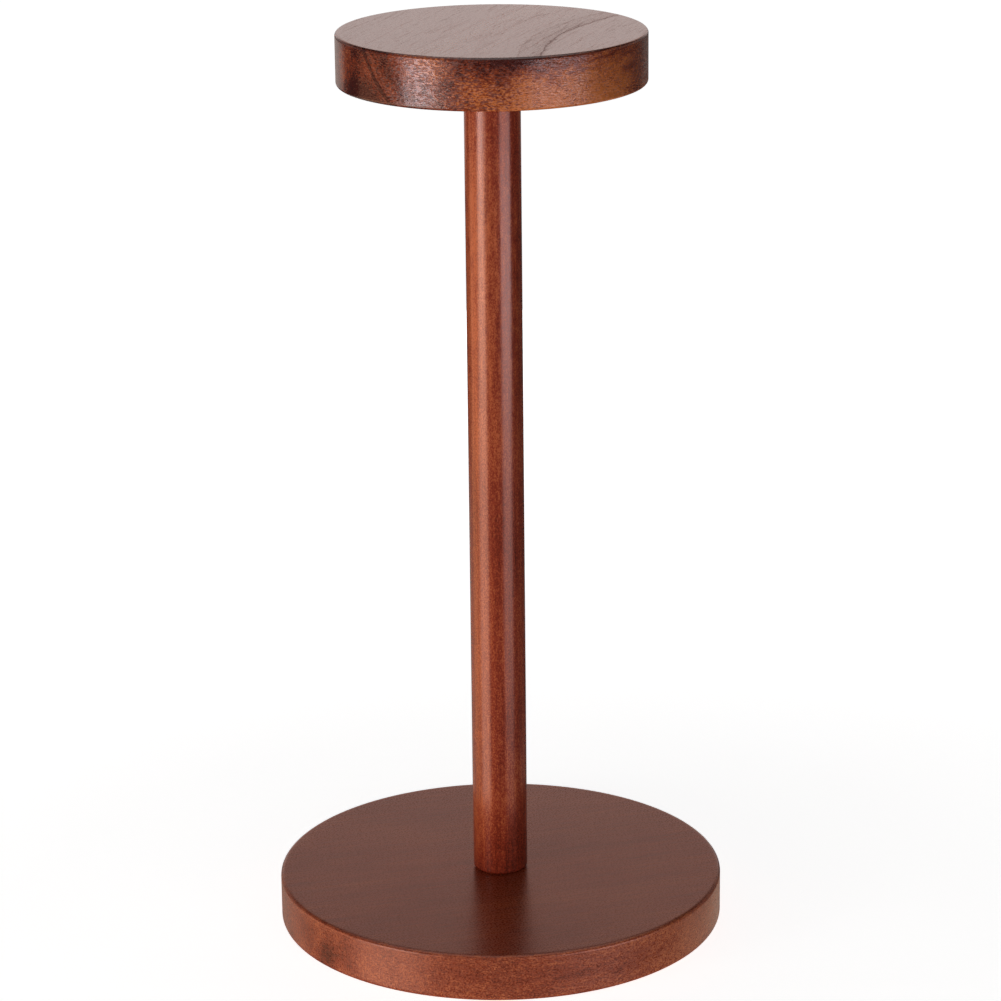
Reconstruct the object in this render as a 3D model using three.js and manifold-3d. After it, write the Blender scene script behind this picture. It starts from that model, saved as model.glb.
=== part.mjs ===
// A wooden hat stand: a round base, a straight pole and a round top that carries the hat.
// It comes apart: a bolt from below clamps the base to the pole, and the top screws onto a
// hanger bolt in the pole's upper end. Sizes are in millimetres, +Z is up, and the origin is
// on the table at the middle of the base.
import * as THREE from "three";
import { mergeVertices } from "three/addons/utils/BufferGeometryUtils.js";
import Module from "manifold-3d";

const wasm = await Module();
wasm.setup();

// Base board
const BASE_DIAMETER = 180;
const BASE_THICKNESS = 19;
const BASE_EDGE_ROUND = 1.5;

// Pole
const POLE_DIAMETER = 22;
const POLE_LENGTH = 325;
const POLE_END_ROUND = 1.5;

// Top board, with a blind socket that leaves a skin of wood above it
const TOP_DIAMETER = 120;
const TOP_THICKNESS = 20;
const TOP_EDGE_ROUND = 1.2;
const TOP_SKIN = 4.5;

// Furniture bolt and washer, sunk into the underside of the base
const THREAD_DIAMETER = 6;
const BOLT_REACH = 16.4; // how far the bolt goes into the pole
const BOLT_HEAD_DIAMETER = 15;
const BOLT_HEAD_HEIGHT = 2.5;
const BOLT_HEAD_RIM = 0.9; // straight part of the head, under its crown
const BOLT_HEAD_DEPTH = 2.9; // from the underside of the base up to the head
const BOLT_KEY_FLATS = 4;
const BOLT_KEY_DEPTH = 3;
const WASHER_DIAMETER = 18;
const WASHER_THICKNESS = 1.6;
const WASHER_EDGE_CUT = 0.25;

// Threaded inserts: a flange, a body that bites into the wood and a hexagon to drive it
const INSERT_BODY_DIAMETER = 10;
const INSERT_FLANGE_DIAMETER = 13;
const INSERT_FLANGE_THICKNESS = 1.2;
const INSERT_LEAD_TAPER = 1;
const INSERT_SUNK = 0.5; // flange below the face of the wood
const INSERT_KEY_FLATS = 6.9;
const INSERT_KEY_DEPTH = 4;
const POLE_INSERT_LENGTH = 15;

// Hanger bolt: wood screw below, plain collar, machine thread above
const HANGER_SCREW_LENGTH = 24;
const HANGER_POINT_LENGTH = 6;
const HANGER_COLLAR_LENGTH = 3;
const HANGER_COLLAR_DIAMETER = 5.4;

// Rubber foot pads, stuck under the base
const PAD_COUNT = 4;
const PAD_DIAMETER = 20;
const PAD_THICKNESS = 2;
const PAD_EDGE_ROUND = 0.5;
const PAD_FROM_RIM = 8;

// Clearances and small cuts
const SEAT_GAP = 0.3; // a round piece in the hole that it seats in
const BOLT_HOLE_GAP = 0.5; // the bolt in the base
const WASHER_GAP = 1; // the washer in its counterbore
const HOLE_RUNOUT = 2; // spare depth past the end of a bolt or insert
const TIP_CHAMFER = 0.8;
const MOUTH_CHAMFER = 0.5;
const KEY_START_BELOW = 1; // a key socket's cutter starts this far outside the face that it cuts
const WELD_DISTANCE = 1e-4; // corners closer than this are one corner

// Smoothness of the round faces
const BOARD_SEGMENTS = 96;
const POLE_SEGMENTS = 48;
const HARDWARE_SEGMENTS = 32;
const KEY_SIDES = 6;
const CORNER_DIVISIONS = 2; // each rounded corner has twice as many steps

// Heights of the seats, from the table up
const underside = PAD_THICKNESS;
const baseFace = underside + BASE_THICKNESS;
const poleTop = baseFace + POLE_LENGTH;

// Depths and lengths that follow from the sizes above
const counterboreDepth = WASHER_THICKNESS + BOLT_HEAD_HEIGHT + BOLT_HEAD_DEPTH;
const baseWeb = BASE_THICKNESS - counterboreDepth;
const boltLength = WASHER_THICKNESS + baseWeb + BOLT_REACH;
const footHoleDepth = Math.max(INSERT_SUNK + POLE_INSERT_LENGTH, BOLT_REACH) + HOLE_RUNOUT;
const socketDepth = TOP_THICKNESS - TOP_SKIN;
const topInsertLength = socketDepth - INSERT_SUNK - HOLE_RUNOUT;
const hangerReach = socketDepth - HOLE_RUNOUT;

const stainedWood = new THREE.MeshStandardMaterial({ color: "#7a3c27", roughness: 0.38, metalness: 0 });
const zincSteel = new THREE.MeshStandardMaterial({ color: "#b9bcbf", roughness: 0.35, metalness: 1 });
const yellowZinc = new THREE.MeshStandardMaterial({ color: "#b7a468", roughness: 0.4, metalness: 1 });
const blackRubber = new THREE.MeshStandardMaterial({ color: "#1d1c1b", roughness: 0.9, metalness: 0 });

// A round solid about Z, from a profile of (radius, height) drawn counterclockwise.
function revolve(profile, segments) {
  return new THREE.LatheGeometry(profile.getPoints(CORNER_DIVISIONS), segments).rotateX(Math.PI / 2);
}

// Carries a profile round the lower and then the upper outer corner of a disc or rod.
function roundedRim(profile, radius, height, round) {
  profile.absarc(radius - round, round, round, -Math.PI / 2, 0, false);
  profile.absarc(radius - round, height - round, round, 0, Math.PI / 2, false);
}

// Carries a profile down into a hole for an insert, sunk into the face at height 0:
// a recess for the flange, then a bore for the body, ending on the axis.
function insertHole(depth) {
  const bodyRadius = INSERT_BODY_DIAMETER / 2 + SEAT_GAP;
  const flangeRadius = INSERT_FLANGE_DIAMETER / 2 + SEAT_GAP;
  const flangeDepth = INSERT_SUNK + INSERT_FLANGE_THICKNESS;
  const hole = new THREE.Path();
  hole.moveTo(0, depth);
  hole.lineTo(bodyRadius, depth);
  hole.lineTo(bodyRadius, flangeDepth);
  hole.lineTo(flangeRadius, flangeDepth);
  hole.lineTo(flangeRadius, 0);
  return hole;
}

function solidOf(geometry) {
  const bare = geometry.clone().deleteAttribute("normal").deleteAttribute("uv");
  const merged = mergeVertices(bare, WELD_DISTANCE);
  return new wasm.Manifold(
    new wasm.Mesh({
      numProp: 3,
      vertProperties: merged.getAttribute("position").array,
      triVerts: Uint32Array.from(merged.index.array),
    }),
  );
}

function geometryOf(solid) {
  const mesh = solid.getMesh();
  return new THREE.BufferGeometry()
    .setAttribute("position", new THREE.BufferAttribute(mesh.vertProperties, 3))
    .setIndex(new THREE.BufferAttribute(mesh.triVerts, 1));
}

// Cuts a hexagonal key socket into a solid, from below its face at height 0 up to a depth.
function cutKeySocket(geometry, acrossFlats, depth) {
  const circumradius = acrossFlats / 2 / Math.cos(Math.PI / KEY_SIDES);
  const length = depth + KEY_START_BELOW;
  const key = new THREE.CylinderGeometry(circumradius, circumradius, length, KEY_SIDES)
    .rotateX(Math.PI / 2)
    .translate(0, 0, depth - length / 2);
  return geometryOf(solidOf(geometry).subtract(solidOf(key)));
}

function piece(name, geometry, material, height) {
  const mesh = new THREE.Mesh(geometry, material);
  mesh.name = name;
  mesh.position.z = height;
  return mesh;
}

// Base board: eased edges, a bolt hole, and below it a counterbore that hides the bolt head.
function makeBase() {
  const holeRadius = THREAD_DIAMETER / 2 + BOLT_HOLE_GAP;
  const counterboreRadius = WASHER_DIAMETER / 2 + WASHER_GAP;
  const profile = new THREE.Path();
  profile.moveTo(holeRadius, counterboreDepth);
  profile.lineTo(counterboreRadius, counterboreDepth);
  profile.lineTo(counterboreRadius, MOUTH_CHAMFER);
  profile.lineTo(counterboreRadius + MOUTH_CHAMFER, 0);
  roundedRim(profile, BASE_DIAMETER / 2, BASE_THICKNESS, BASE_EDGE_ROUND);
  profile.lineTo(holeRadius, BASE_THICKNESS);
  profile.lineTo(holeRadius, counterboreDepth);
  return piece("base_disc", revolve(profile, BOARD_SEGMENTS), stainedWood, underside);
}

// Pole: a dowel with eased ends, an insert hole in its foot and a screw hole in its upper end.
function makePole() {
  const screwHoleRadius = THREAD_DIAMETER / 2 + SEAT_GAP;
  const screwHoleFloor = POLE_LENGTH - HANGER_SCREW_LENGTH - HOLE_RUNOUT;
  const profile = insertHole(footHoleDepth);
  roundedRim(profile, POLE_DIAMETER / 2, POLE_LENGTH, POLE_END_ROUND);
  profile.lineTo(screwHoleRadius, POLE_LENGTH);
  profile.lineTo(screwHoleRadius, screwHoleFloor + screwHoleRadius);
  profile.lineTo(0, screwHoleFloor);
  return piece("pole", revolve(profile, POLE_SEGMENTS), stainedWood, baseFace);
}

// Top board: a plain face for the hat above, and a blind insert hole below.
function makeTop() {
  const profile = insertHole(socketDepth);
  roundedRim(profile, TOP_DIAMETER / 2, TOP_THICKNESS, TOP_EDGE_ROUND);
  profile.lineTo(0, TOP_THICKNESS);
  return piece("top_disc", revolve(profile, BOARD_SEGMENTS), stainedWood, poleTop);
}

// Furniture bolt: a low crowned head with a key socket, and a shank that points up.
function makeBolt() {
  const headRadius = BOLT_HEAD_DIAMETER / 2;
  const shankRadius = THREAD_DIAMETER / 2;
  const crown = BOLT_HEAD_HEIGHT - BOLT_HEAD_RIM;
  const crownRadius = (headRadius ** 2 + crown ** 2) / (2 * crown);
  const crownHalfAngle = Math.asin(headRadius / crownRadius);
  const tip = BOLT_HEAD_HEIGHT + boltLength;
  const profile = new THREE.Path();
  profile.absarc(0, crownRadius, crownRadius, -Math.PI / 2, -Math.PI / 2 + crownHalfAngle, false);
  profile.lineTo(headRadius, BOLT_HEAD_HEIGHT);
  profile.lineTo(shankRadius, BOLT_HEAD_HEIGHT);
  profile.lineTo(shankRadius, tip - TIP_CHAMFER);
  profile.lineTo(shankRadius - TIP_CHAMFER, tip);
  profile.lineTo(0, tip);
  const blank = revolve(profile, HARDWARE_SEGMENTS);
  const bolt = cutKeySocket(blank, BOLT_KEY_FLATS, BOLT_KEY_DEPTH);
  return piece("base_bolt", bolt, zincSteel, underside + BOLT_HEAD_DEPTH);
}

function makeWasher() {
  const outer = WASHER_DIAMETER / 2;
  const inner = THREAD_DIAMETER / 2 + SEAT_GAP;
  const profile = new THREE.Path();
  profile.moveTo(inner, 0);
  profile.lineTo(outer - WASHER_EDGE_CUT, 0);
  profile.lineTo(outer, WASHER_EDGE_CUT);
  profile.lineTo(outer, WASHER_THICKNESS);
  profile.lineTo(inner, WASHER_THICKNESS);
  profile.lineTo(inner, 0);
  const seat = underside + counterboreDepth - WASHER_THICKNESS;
  return piece("base_washer", revolve(profile, HARDWARE_SEGMENTS), zincSteel, seat);
}

// Threaded insert, flange down: a through bore, and a hexagon at its mouth for the driver.
function makeInsert(name, length, faceOfWood) {
  const bore = THREAD_DIAMETER / 2 + SEAT_GAP;
  const body = INSERT_BODY_DIAMETER / 2;
  const flange = INSERT_FLANGE_DIAMETER / 2;
  const profile = new THREE.Path();
  profile.moveTo(bore, 0);
  profile.lineTo(flange, 0);
  profile.lineTo(flange, INSERT_FLANGE_THICKNESS);
  profile.lineTo(body, INSERT_FLANGE_THICKNESS);
  profile.lineTo(body, length - INSERT_LEAD_TAPER);
  profile.lineTo(body - INSERT_LEAD_TAPER, length);
  profile.lineTo(bore, length);
  profile.lineTo(bore, 0);
  const blank = revolve(profile, HARDWARE_SEGMENTS);
  const insert = cutKeySocket(blank, INSERT_KEY_FLATS, INSERT_KEY_DEPTH);
  return piece(name, insert, yellowZinc, faceOfWood + INSERT_SUNK);
}

// Hanger bolt, drawn from its point up; height 0 is the upper end face of the pole.
function makeHangerBolt() {
  const thread = THREAD_DIAMETER / 2;
  const collar = HANGER_COLLAR_DIAMETER / 2;
  const neck = thread - collar;
  const collarTop = HANGER_COLLAR_LENGTH / 2;
  const profile = new THREE.Path();
  profile.moveTo(0, -HANGER_SCREW_LENGTH);
  profile.lineTo(thread, HANGER_POINT_LENGTH - HANGER_SCREW_LENGTH);
  profile.lineTo(thread, -collarTop);
  profile.lineTo(collar, neck - collarTop);
  profile.lineTo(collar, collarTop - neck);
  profile.lineTo(thread, collarTop);
  profile.lineTo(thread, hangerReach - TIP_CHAMFER);
  profile.lineTo(thread - TIP_CHAMFER, hangerReach);
  profile.lineTo(0, hangerReach);
  return piece("hanger_bolt", revolve(profile, HARDWARE_SEGMENTS), zincSteel, poleTop);
}

function makePad(index) {
  const radius = PAD_DIAMETER / 2;
  const ringRadius = BASE_DIAMETER / 2 - PAD_FROM_RIM - radius;
  const angle = ((index + 0.5) * 2 * Math.PI) / PAD_COUNT;
  const profile = new THREE.Path();
  profile.moveTo(0, 0);
  profile.lineTo(radius - PAD_EDGE_ROUND, 0);
  profile.absarc(radius - PAD_EDGE_ROUND, PAD_EDGE_ROUND, PAD_EDGE_ROUND, -Math.PI / 2, 0, false);
  profile.lineTo(radius, PAD_THICKNESS);
  profile.lineTo(0, PAD_THICKNESS);
  const pad = piece(`foot_pad_${index + 1}`, revolve(profile, HARDWARE_SEGMENTS), blackRubber, 0);
  pad.position.x = ringRadius * Math.cos(angle);
  pad.position.y = ringRadius * Math.sin(angle);
  return pad;
}

const hatStand = new THREE.Group();
hatStand.add(makeBase(), makePole(), makeTop());
hatStand.add(makeBolt(), makeWasher(), makeInsert("pole_insert", POLE_INSERT_LENGTH, baseFace));
hatStand.add(makeHangerBolt(), makeInsert("top_insert", topInsertLength, poleTop));
for (let i = 0; i < PAD_COUNT; i++) hatStand.add(makePad(i));

export default hatStand;
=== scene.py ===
# %% [markdown]
# # A wooden hat stand
# A round base, a straight pole and a round top, turned in a fine-grained wood, stained red-brown
# and lacquered. The solid model already settles every size. This lesson models each piece again
# with all its detail, gives it its finish, and lights it as in a small photo studio.

# %% Load the solid model and keep its box
import math

import bmesh
import bpy
from mathutils import Matrix, Vector


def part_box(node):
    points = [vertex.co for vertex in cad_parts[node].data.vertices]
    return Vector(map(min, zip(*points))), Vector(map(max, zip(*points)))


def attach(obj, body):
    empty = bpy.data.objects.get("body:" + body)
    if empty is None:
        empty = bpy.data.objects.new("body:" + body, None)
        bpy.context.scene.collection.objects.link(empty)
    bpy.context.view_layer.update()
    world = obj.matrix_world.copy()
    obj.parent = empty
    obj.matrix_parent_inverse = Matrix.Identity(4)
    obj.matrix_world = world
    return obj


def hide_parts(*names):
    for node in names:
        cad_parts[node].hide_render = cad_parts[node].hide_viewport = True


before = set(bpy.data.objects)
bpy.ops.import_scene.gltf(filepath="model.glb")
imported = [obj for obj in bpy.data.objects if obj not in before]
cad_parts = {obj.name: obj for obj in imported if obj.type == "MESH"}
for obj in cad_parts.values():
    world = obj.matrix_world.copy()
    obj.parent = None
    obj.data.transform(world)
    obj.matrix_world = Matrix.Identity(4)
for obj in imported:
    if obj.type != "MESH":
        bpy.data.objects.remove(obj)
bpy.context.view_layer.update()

MM = 0.001
print("solid pieces:", ", ".join(sorted(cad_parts)))

# %% [markdown]
# ## The camera
# The photograph is taken a little above the top board, looking down, from far enough away that
# the pole hardly tapers. A long lens on a 36 mm sensor gives that. The camera is turned in three
# plain steps: aim it level along +Y, tip it down, and roll it by a fraction of a degree.

# %% Place the camera
CAMERA_PLACE = (0.0, -1.3582, 0.6034)
LENS_MM = 128.74
SENSOR_MM = 36
TURN_RIGHT = math.radians(0.066)
TIP_DOWN = math.radians(17.405)
ROLL = math.radians(-0.611)

bpy.ops.object.camera_add(location=CAMERA_PLACE)
camera = bpy.context.object
camera.data.lens = LENS_MM
camera.data.sensor_width = SENSOR_MM
level = Matrix.Rotation(-TURN_RIGHT, 3, "Z") @ Matrix.Rotation(math.pi / 2, 3, "X")
aim = level @ Matrix.Rotation(-TIP_DOWN, 3, "X") @ Matrix.Rotation(ROLL, 3, "Z")
camera.rotation_euler = aim.to_euler()
bpy.context.scene.camera = camera
print(f"camera: {LENS_MM} mm lens, {math.degrees(TIP_DOWN):.1f} degrees down")

# %% [markdown]
# ## Sizes
# Each new piece stands in the place of one solid, so its radius and its two heights are read from
# that solid's box. The holes can't be read from a box. They follow from what goes into them, plus
# a clearance.

# %% Read radius and heights from the solids
def size_of(node):
    """The radius of a round solid about the upright axis, and its lowest and highest height."""
    low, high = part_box(node)
    return (high.x - low.x) / 2, low.z, high.z


BASE_RADIUS, BASE_LOW, BASE_HIGH = size_of("base_disc")
POLE_RADIUS, POLE_LOW, POLE_HIGH = size_of("pole")
TOP_RADIUS, TOP_LOW, TOP_HIGH = size_of("top_disc")
HEAD_RADIUS, BOLT_LOW, BOLT_HIGH = size_of("base_bolt")
WASHER_RADIUS, WASHER_LOW, WASHER_HIGH = size_of("base_washer")
FLANGE_RADIUS, FOOT_INSERT_LOW, FOOT_INSERT_HIGH = size_of("pole_insert")
_, TOP_INSERT_LOW, TOP_INSERT_HIGH = size_of("top_insert")
SCREW_RADIUS, HANGER_LOW, HANGER_HIGH = size_of("hanger_bolt")
print(f"base {2 * BASE_RADIUS / MM:.0f} mm, pole {2 * POLE_RADIUS / MM:.0f} mm, "
      f"top {2 * TOP_RADIUS / MM:.0f} mm, {TOP_HIGH / MM:.0f} mm high")

# %% [markdown]
# ## Modelling by hand, in code
# Every piece starts as a primitive and is shaped in edit mode. An operator acts on all that is
# selected, so a piece starts with nothing selected, and then its faces or edges are selected by
# their place. These few helpers say that in one word each.

# %% Helpers that start and open a piece
def let_go():
    """Leaves edit mode and deselects everything."""
    if bpy.context.mode != "OBJECT":
        bpy.ops.object.mode_set(mode="OBJECT")
    bpy.ops.object.select_all(action="DESELECT")


def add_rod(name, radius, low, high, sides):
    """Adds a plain rod about the upright axis, with its place already in its mesh."""
    let_go()
    middle = (low + high) / 2
    bpy.ops.mesh.primitive_cylinder_add(
        vertices=sides, radius=radius, depth=high - low, location=(0, 0, middle)
    )
    bpy.ops.object.transform_apply()
    rod = bpy.context.object
    rod.name = name
    rod.data.name = name
    return rod


def edit(piece, mode="FACE"):
    """Opens a piece in edit mode with nothing in it selected."""
    let_go()
    bpy.context.view_layer.objects.active = piece
    piece.select_set(True)
    bpy.ops.object.mode_set(mode="EDIT")
    bpy.ops.mesh.select_mode(type=mode)
    bpy.ops.mesh.select_all(action="DESELECT")
    return bmesh.from_edit_mesh(piece.data)


# %% Helpers that select and shape
CLOSE = 0.02 * MM
LEVEL = 0.999


def section(vertex):
    """Where a vertex lies in the section through the upright axis: its radius and its height."""
    return Vector((math.hypot(vertex.co.x, vertex.co.y), vertex.co.z))


def is_level(face, within):
    """Whether a face is level and reaches no further from the upright axis than a radius."""
    reach = max(section(vertex).x for vertex in face.verts)
    return abs(face.normal.z) > LEVEL and reach < within + CLOSE


def select_cap(piece, height, within=math.inf):
    """Selects the level face at a height whose reach is no more than a given radius."""
    mesh = edit(piece)
    for face in mesh.faces:
        here = abs(face.calc_center_median().z - height) < CLOSE
        face.select_set(here and is_level(face, within))
    bmesh.update_edit_mesh(piece.data)


def ease_rim(piece, height, radius, offset, segments):
    """Rounds the edge that runs round a piece at a height and radius."""
    mesh = edit(piece, "EDGE")
    for edge in mesh.edges:
        offsets = [section(vertex) - Vector((radius, height)) for vertex in edge.verts]
        edge.select_set(all(away.length < CLOSE for away in offsets))
    bmesh.update_edit_mesh(piece.data)
    bpy.ops.mesh.bevel(offset=offset, segments=segments, affect="EDGES")


def bridge_hole(piece, radius):
    """Joins the two small caps that a hole's ends still are, so that the hole goes through."""
    mesh = edit(piece)
    for face in mesh.faces:
        face.select_set(is_level(face, radius))
    bmesh.update_edit_mesh(piece.data)
    bpy.ops.mesh.bridge_edge_loops()


def sink(radius_now, radius, from_height, to_height):
    """Draws the selected cap in to a smaller radius, then pushes it to another height."""
    bpy.ops.mesh.inset(thickness=radius_now - radius)
    step = (0, 0, to_height - from_height)
    bpy.ops.mesh.extrude_region_move(TRANSFORM_OT_translate={"value": step})


# %% The helper that finishes
BOARD_SHARP = 35
HARDWARE_SHARP = 28


def smooth(piece, degrees=BOARD_SHARP):
    """Shades a piece smooth, except over edges sharper than an angle, and closes its editing.

    Large faces decide the normals at their corners, so that an eased edge doesn't bend the shine on
    the long face beside it.
    """
    let_go()
    bpy.context.view_layer.objects.active = piece
    piece.select_set(True)
    bpy.ops.object.shade_smooth_by_angle(angle=math.radians(degrees))
    bpy.ops.object.modifier_add(type="WEIGHTED_NORMAL")
    piece.modifiers[-1].keep_sharp = True
    bpy.ops.object.modifier_apply(modifier=piece.modifiers[-1].name)
    print(f"{piece.name}: {len(piece.data.polygons)} faces")
    return piece


# %% [markdown]
# ## The base board
# The base is a disc with eased edges. Underneath, a counterbore hides the head of the bolt that
# holds the pole, and a plain hole leads the bolt up. One way is to cut both with booleans. Insets
# and extrusions of the disc's own caps are chosen instead, because they keep clean rings of
# faces, and the two ends of the bolt hole are then joined by a bridge.

# %% Turn the base board
BOARD_SIDES = 256
BASE_EASE = 1.5 * MM
EASE_STEPS = 6
CAP_MARGIN = 1 * MM
WASHER_GAP = 1 * MM
BOLT_GAP = 0.5 * MM
MOUTH_CHAMFER = 0.5 * MM
HAIRLINE = 0.01 * MM
COUNTERBORE_RADIUS = WASHER_RADIUS + WASHER_GAP
BOLT_HOLE_RADIUS = SCREW_RADIUS + BOLT_GAP

base = add_rod("base_board", BASE_RADIUS, BASE_LOW, BASE_HIGH, BOARD_SIDES)
for height in (BASE_LOW, BASE_HIGH):
    ease_rim(base, height, BASE_RADIUS, BASE_EASE, EASE_STEPS)

# %% Sink the counterbore and bridge the bolt hole
mouth = COUNTERBORE_RADIUS + MOUTH_CHAMFER
select_cap(base, BASE_LOW, BASE_RADIUS)
bpy.ops.mesh.inset(thickness=CAP_MARGIN)
bpy.ops.mesh.inset(thickness=BASE_RADIUS - BASE_EASE - CAP_MARGIN - mouth)
bpy.ops.mesh.inset(thickness=MOUTH_CHAMFER, depth=-MOUTH_CHAMFER)
sink(COUNTERBORE_RADIUS, COUNTERBORE_RADIUS - HAIRLINE, BASE_LOW + MOUTH_CHAMFER, WASHER_HIGH)
bpy.ops.mesh.inset(thickness=COUNTERBORE_RADIUS - BOLT_HOLE_RADIUS)
select_cap(base, BASE_HIGH, BASE_RADIUS)
bpy.ops.mesh.inset(thickness=CAP_MARGIN)
bpy.ops.mesh.inset(thickness=BASE_RADIUS - BASE_EASE - CAP_MARGIN - BOLT_HOLE_RADIUS)
bridge_hole(base, BOLT_HOLE_RADIUS)
smooth(base)

# %% [markdown]
# ## The pole
# A dowel with eased ends: in the photograph its foot meets the base with a soft, dark line, not a
# sharp corner. The foot has a stepped hole for a threaded insert, and the upper end a pilot hole
# for a screw, with the cone that a drill leaves at its bottom.

# %% Turn the pole
POLE_SIDES = 128
POLE_EASE = 1.5 * MM
SEAT_GAP = 0.3 * MM
DRILL_RUNOUT = 2 * MM
FLANGE_THICKNESS = 1.2 * MM
INSERT_RADIUS = 5 * MM
FLANGE_DEPTH = FOOT_INSERT_LOW - POLE_LOW + FLANGE_THICKNESS
FOOT_HOLE_END = max(BOLT_HIGH, FOOT_INSERT_HIGH) + DRILL_RUNOUT

pole = add_rod("pole_dowel", POLE_RADIUS, POLE_LOW, POLE_HIGH, POLE_SIDES)
for height in (POLE_LOW, POLE_HIGH):
    ease_rim(pole, height, POLE_RADIUS, POLE_EASE, EASE_STEPS)
end_radius = POLE_RADIUS - POLE_EASE
flange_hole = FLANGE_RADIUS + SEAT_GAP
insert_hole = INSERT_RADIUS + SEAT_GAP
select_cap(pole, POLE_LOW, POLE_RADIUS)
sink(end_radius, flange_hole, POLE_LOW, POLE_LOW + FLANGE_DEPTH)
sink(flange_hole, insert_hole, POLE_LOW + FLANGE_DEPTH, FOOT_HOLE_END)

# %% Drill the pole's upper end
pilot = SCREW_RADIUS + SEAT_GAP
pilot_floor = HANGER_LOW - DRILL_RUNOUT
select_cap(pole, POLE_HIGH, POLE_RADIUS)
sink(end_radius, pilot, POLE_HIGH, pilot_floor + pilot)
bpy.ops.mesh.extrude_region_move(TRANSFORM_OT_translate={"value": (0, 0, -pilot)})
bpy.ops.mesh.merge(type="CENTER")
smooth(pole)

# %% [markdown]
# ## The top board
# The same work as the base, but nothing may show on the face that carries the hat. So its hole is
# blind: a recess and a bore for a threaded insert, which stop short of the upper face.

# %% Turn the top board
TOP_EASE = 1.2 * MM

top = add_rod("top_board", TOP_RADIUS, TOP_LOW, TOP_HIGH, BOARD_SIDES)
for height in (TOP_LOW, TOP_HIGH):
    ease_rim(top, height, TOP_RADIUS, TOP_EASE, EASE_STEPS)
cap_radius = TOP_RADIUS - TOP_EASE - CAP_MARGIN
select_cap(top, TOP_LOW, TOP_RADIUS)
bpy.ops.mesh.inset(thickness=CAP_MARGIN)
sink(cap_radius, flange_hole, TOP_LOW, TOP_LOW + FLANGE_DEPTH)
sink(flange_hole, insert_hole, TOP_LOW + FLANGE_DEPTH, TOP_INSERT_HIGH + DRILL_RUNOUT)
select_cap(top, TOP_HIGH, TOP_RADIUS)
bpy.ops.mesh.inset(thickness=CAP_MARGIN)
smooth(top)

# %% [markdown]
# ## Screw threads
# A thread is one small zigzag carried up a helix. The Screw modifier does exactly that: it turns a
# profile round the axis and lifts it by one pitch a turn. The profile is drawn by extruding a
# single vertex, the turns are welded, and both ends are cut level and capped.

# %% A threaded rod
THREAD_STEPS = 32
WELD = 0.001 * MM
MACHINE_FLAT = 0.125
KNIFE_FLAT = 0.06


def add_thread(name, crest, root, pitch, low, high, flat=MACHINE_FLAT):
    """Adds a closed threaded rod. flat is the share of the pitch that is flat at the crest."""
    let_go()
    bpy.ops.mesh.primitive_plane_add(size=pitch)
    rod = bpy.context.object
    rod.name = name
    bpy.ops.object.mode_set(mode="EDIT")
    bpy.ops.mesh.merge(type="CENTER")
    bpy.ops.transform.translate(value=(root, 0, low - pitch))
    flank = pitch * (1 - 2 * flat) / 2
    rise = crest - root
    for out, up in ((0, pitch * flat), (rise, flank), (0, pitch * flat), (-rise, flank)):
        bpy.ops.mesh.extrude_region_move(TRANSFORM_OT_translate={"value": (out, 0, up)})
    bpy.ops.object.mode_set(mode="OBJECT")
    turns = rod.modifiers.new("turns", "SCREW")
    turns.screw_offset = pitch
    turns.iterations = math.ceil((high - low) / pitch) + 2
    turns.steps = turns.render_steps = THREAD_STEPS
    bpy.ops.object.modifier_apply(modifier="turns")
    trim_thread(rod, low, high)
    return rod


def trim_thread(rod, low, high):
    """Welds the turns of a thread and cuts both its ends level."""
    bpy.ops.object.mode_set(mode="EDIT")
    bpy.ops.mesh.select_all(action="SELECT")
    bpy.ops.mesh.remove_doubles(threshold=WELD)
    for height, side in ((low, "clear_inner"), (high, "clear_outer")):
        bpy.ops.mesh.select_all(action="SELECT")
        cut = {"plane_co": (0, 0, height), "plane_no": (0, 0, 1), "use_fill": True, side: True}
        bpy.ops.mesh.bisect(**cut)
    bpy.ops.mesh.select_all(action="SELECT")
    bpy.ops.mesh.normals_make_consistent(inside=False)
    bpy.ops.object.mode_set(mode="OBJECT")


# %% Joining and cutting
KEY_SIDES = 6

# How far a cutter starts outside, joined parts overlap, and a trimming blank clears a crest
PAST = 1 * MM
OVERLAP = 0.2 * MM
SLACK = 0.01 * MM


def combine(piece, other, operation):
    """Joins another solid to a piece, cuts it away or keeps what both share."""
    let_go()
    bpy.context.view_layer.objects.active = piece
    piece.select_set(True)
    change = piece.modifiers.new("change", "BOOLEAN")
    change.operation = operation
    change.solver = "EXACT"
    change.object = other
    bpy.ops.object.modifier_apply(modifier="change")
    bpy.data.objects.remove(other)
    return piece


def add_key(across_flats, low, depth):
    """Adds the six-sided blank that a key socket is cut with, from just outside a face upwards."""
    return add_rod("key_blank", across_flats / math.sqrt(3), low - PAST, low + depth, KEY_SIDES)


# %% [markdown]
# ## The bolt and its washer
# The bolt that clamps the base is a furniture bolt: a wide, low head with a crown and a hexagon
# socket. The crown is made by drawing the head's lower cap in, ring by ring, each a little
# lower along a circle. The washer is punched from sheet, so one edge of it is softly rounded.

# %% Make the furniture bolt
HARDWARE_SIDES = 64
HEAD_HEIGHT = 2.5 * MM
HEAD_RIM = 0.9 * MM
CROWN_RINGS = 8
M6_ROOT = 2.45 * MM
M6_PITCH = 1 * MM
BOLT_KEY_FLATS = 4 * MM
BOLT_KEY_DEPTH = 3 * MM
TIP_CHAMFER = 0.8 * MM
HEAD_SEAT = BOLT_LOW + HEAD_HEIGHT

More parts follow.
